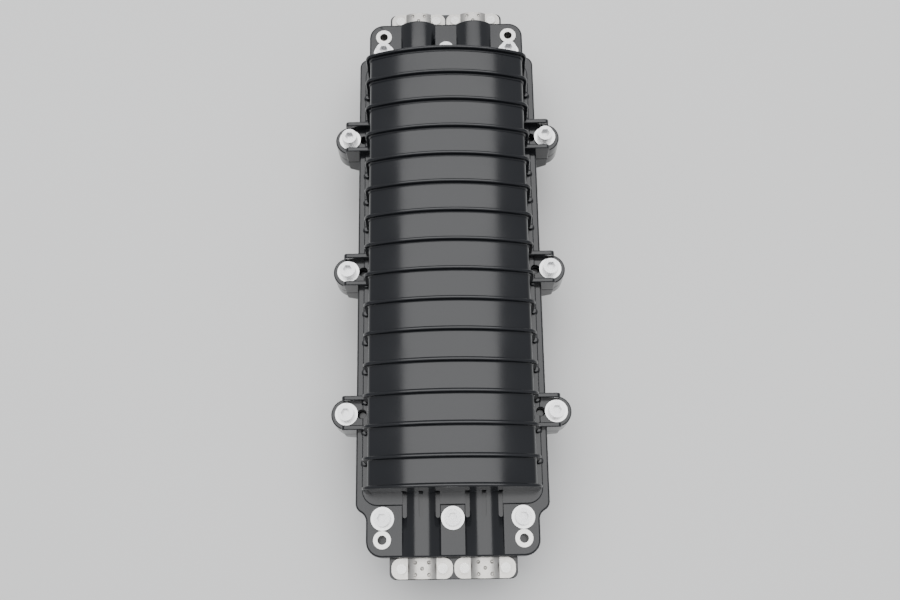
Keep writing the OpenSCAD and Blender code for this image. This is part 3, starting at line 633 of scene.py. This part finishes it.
base_bodies = half_bodies(base_crown, cut_edge)
for end in (-1, 1):
    side = Matrix() if end > 0 else half_turn
    for start, low in ((flange_half_len - 0.012, half_gap), (flange_half_len + 0.0003, -shelf_rise)):
        corner_x, corner_y = shelf_half_w - shelf_corner_r, shelf_end - shelf_corner_r
        right = arc(corner_x, corner_y, shelf_corner_r, 0, 90)
        left = arc(-corner_x, corner_y, shelf_corner_r, 90, 180)
        shelf = [(shelf_half_w, start), *right, *left, (-shelf_half_w, start)]
        base_bodies.append(slab(shelf, low, flange_t, 0.0005, 0.0008, side))
for x, y in post_places:
    base_bodies.append(turned(post_profile, Matrix.Translation((x, y, 0)), 32))
base_cutters = half_cutters(base_crown)
base_cutters += bores(ear_places + end_places, insert_seat_r, -0.001, 0.02)
base_cutters += bores(clamp_screw_places, clamp_pilot_r, -0.0035, 0.012)
base_cutters.append(ring_slab(groove_half_w, groove_half_len, groove_corner_r, 0.0054, -0.003, 0.006))
base_half = fuse("base_half", base_bodies, base_cutters)
base = gather(
    "base_moulding",
    [base_half, *vault_ribs(base_crown, split_z, gloss_plastic), rib_feet(gloss_plastic)],
    Matrix.Translation((0, 0, split_z)) @ Matrix.Scale(-1, 4, (0, 0, 1)),
)
base.data.materials.clear()
base.data.materials.append(gloss_plastic)
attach(base, "base")
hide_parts("lower_shell")

# ---------------------------------------------------------------- bolts, washers and bushes
# Zinc plated socket head cap screws on plain washers, and tapped bushes pressed into the end
# flanges. All are turned and plated steel with a cloudy tone and a fine grain.


def surface(name, light, dark, metallic, smooth, rough, scale, stretch=(1, 1, 1), relief=0.00002, clear=0.0):
    """A procedural material whose tone, roughness and relief follow two sizes of noise in object space."""
    paint = bpy.data.materials.new(name)
    paint.use_nodes = True
    nodes, links = paint.node_tree.nodes, paint.node_tree.links
    shader = nodes["Principled BSDF"]
    shader.inputs["Metallic"].default_value = metallic
    shader.inputs["Transmission Weight"].default_value = clear
    place, spread = nodes.new("ShaderNodeTexCoord"), nodes.new("ShaderNodeMapping")
    spread.inputs["Scale"].default_value = stretch
    clouds, grain = nodes.new("ShaderNodeTexNoise"), nodes.new("ShaderNodeTexNoise")
    clouds.inputs["Scale"].default_value = scale
    clouds.inputs["Detail"].default_value = 5
    grain.inputs["Scale"].default_value = scale * 14
    grain.inputs["Detail"].default_value = 3
    tone, gloss = nodes.new("ShaderNodeMix"), nodes.new("ShaderNodeMapRange")
    bump = nodes.new("ShaderNodeBump")
    tone.data_type = "RGBA"
    tone.inputs["A"].default_value = (*dark, 1)
    tone.inputs["B"].default_value = (*light, 1)
    gloss.inputs["From Min"].default_value = 0.3
    gloss.inputs["From Max"].default_value = 0.7
    gloss.inputs["To Min"].default_value = smooth
    gloss.inputs["To Max"].default_value = rough
    bump.inputs["Strength"].default_value = 0.5
    bump.inputs["Distance"].default_value = relief
    links.new(place.outputs["Object"], spread.inputs["Vector"])
    for noise in (clouds, grain):
        links.new(spread.outputs["Vector"], noise.inputs["Vector"])
    links.new(clouds.outputs["Fac"], tone.inputs["Factor"])
    links.new(tone.outputs["Result"], shader.inputs["Base Color"])
    links.new(grain.outputs["Fac"], gloss.inputs["Value"])
    links.new(gloss.outputs["Result"], shader.inputs["Roughness"])
    links.new(grain.outputs["Fac"], bump.inputs["Height"])
    links.new(bump.outputs["Normal"], shader.inputs["Normal"])
    return paint


def finish_nodes(paint, *starts):
    """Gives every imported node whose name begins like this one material."""
    for node, thing in frame["nodes"].items():
        if node.startswith(starts):
            thing.data.materials.clear()
            thing.data.materials.append(paint)


finish_nodes(
    surface("plated_bolt", (0.66, 0.66, 0.66), (0.5, 0.5, 0.51), 1, 0.2, 0.36, 90),
    "side_bolts", "end_bolts",
)
finish_nodes(
    surface("bright_washer", (0.74, 0.74, 0.73), (0.6, 0.6, 0.6), 1, 0.16, 0.3, 70),
    "side_washers", "end_washers",
)
finish_nodes(
    surface("nickel_bush", (0.7, 0.69, 0.67), (0.56, 0.55, 0.53), 1, 0.2, 0.34, 80),
    "threaded_bushes",
)

# ---------------------------------------------------------------- the cable clamps
# Pressed strips of nickel plated steel, arched over each cable and held by two
# cross-recessed pan head screws.
finish_nodes(
    surface("clamp_plate", (0.6, 0.585, 0.555), (0.46, 0.445, 0.42), 1, 0.26, 0.42, 60, (1, 4, 1)),
    "clamp_plate",
)
finish_nodes(surface("clamp_screw", (0.68, 0.67, 0.65), (0.5, 0.5, 0.49), 1, 0.2, 0.36, 90), "clamp_screws")

# ---------------------------------------------------------------- the seals
# Black moulded rubber: a gasket strip in the base's groove and a ridged seal in each port.
finish_nodes(
    surface("seal_rubber", (0.028, 0.028, 0.028), (0.012, 0.012, 0.012), 0, 0.5, 0.72, 60, relief=0.00005),
    "sealing_strips", "port_seal",
)

# ---------------------------------------------------------------- inserts, carrier and strength clamps
# Brass inserts moulded into the base, a folded zinc coated steel plate that carries
# the trays on screws, and the steel posts that grip the cables' strength members.
finish_nodes(
    surface("insert_brass", (0.66, 0.47, 0.2), (0.48, 0.32, 0.12), 1, 0.24, 0.4, 80),
    "bolt_inserts",
)
finish_nodes(surface("zinc_sheet", (0.6, 0.62, 0.64), (0.42, 0.44, 0.46), 1, 0.3, 0.5, 26), "tray_carrier")
finish_nodes(
    surface("inner_steel", (0.62, 0.62, 0.62), (0.44, 0.44, 0.45), 1, 0.24, 0.4, 80),
    "carrier_screws", "strength_clamp", "strength_screws",
)

# ---------------------------------------------------------------- the splice trays
# Pale moulded plastic trays stacked on hinges, each with a grey comb for the splice sleeves,
# and a clear lid on the top one.
finish_nodes(
    surface("tray_plastic", (0.72, 0.74, 0.75), (0.62, 0.64, 0.66), 0, 0.34, 0.5, 30, relief=0.00003),
    "splice_tray",
)
finish_nodes(
    surface("holder_plastic", (0.34, 0.36, 0.38), (0.26, 0.28, 0.3), 0, 0.4, 0.55, 40),
    "splice_holder",
)
finish_nodes(
    surface("clear_lid", (0.93, 0.95, 0.96), (0.86, 0.89, 0.9), 0, 0.04, 0.12, 20, clear=0.92),
    "tray_lid",
)
finish_nodes(gloss_plastic, "upper_shell", "lower_shell")
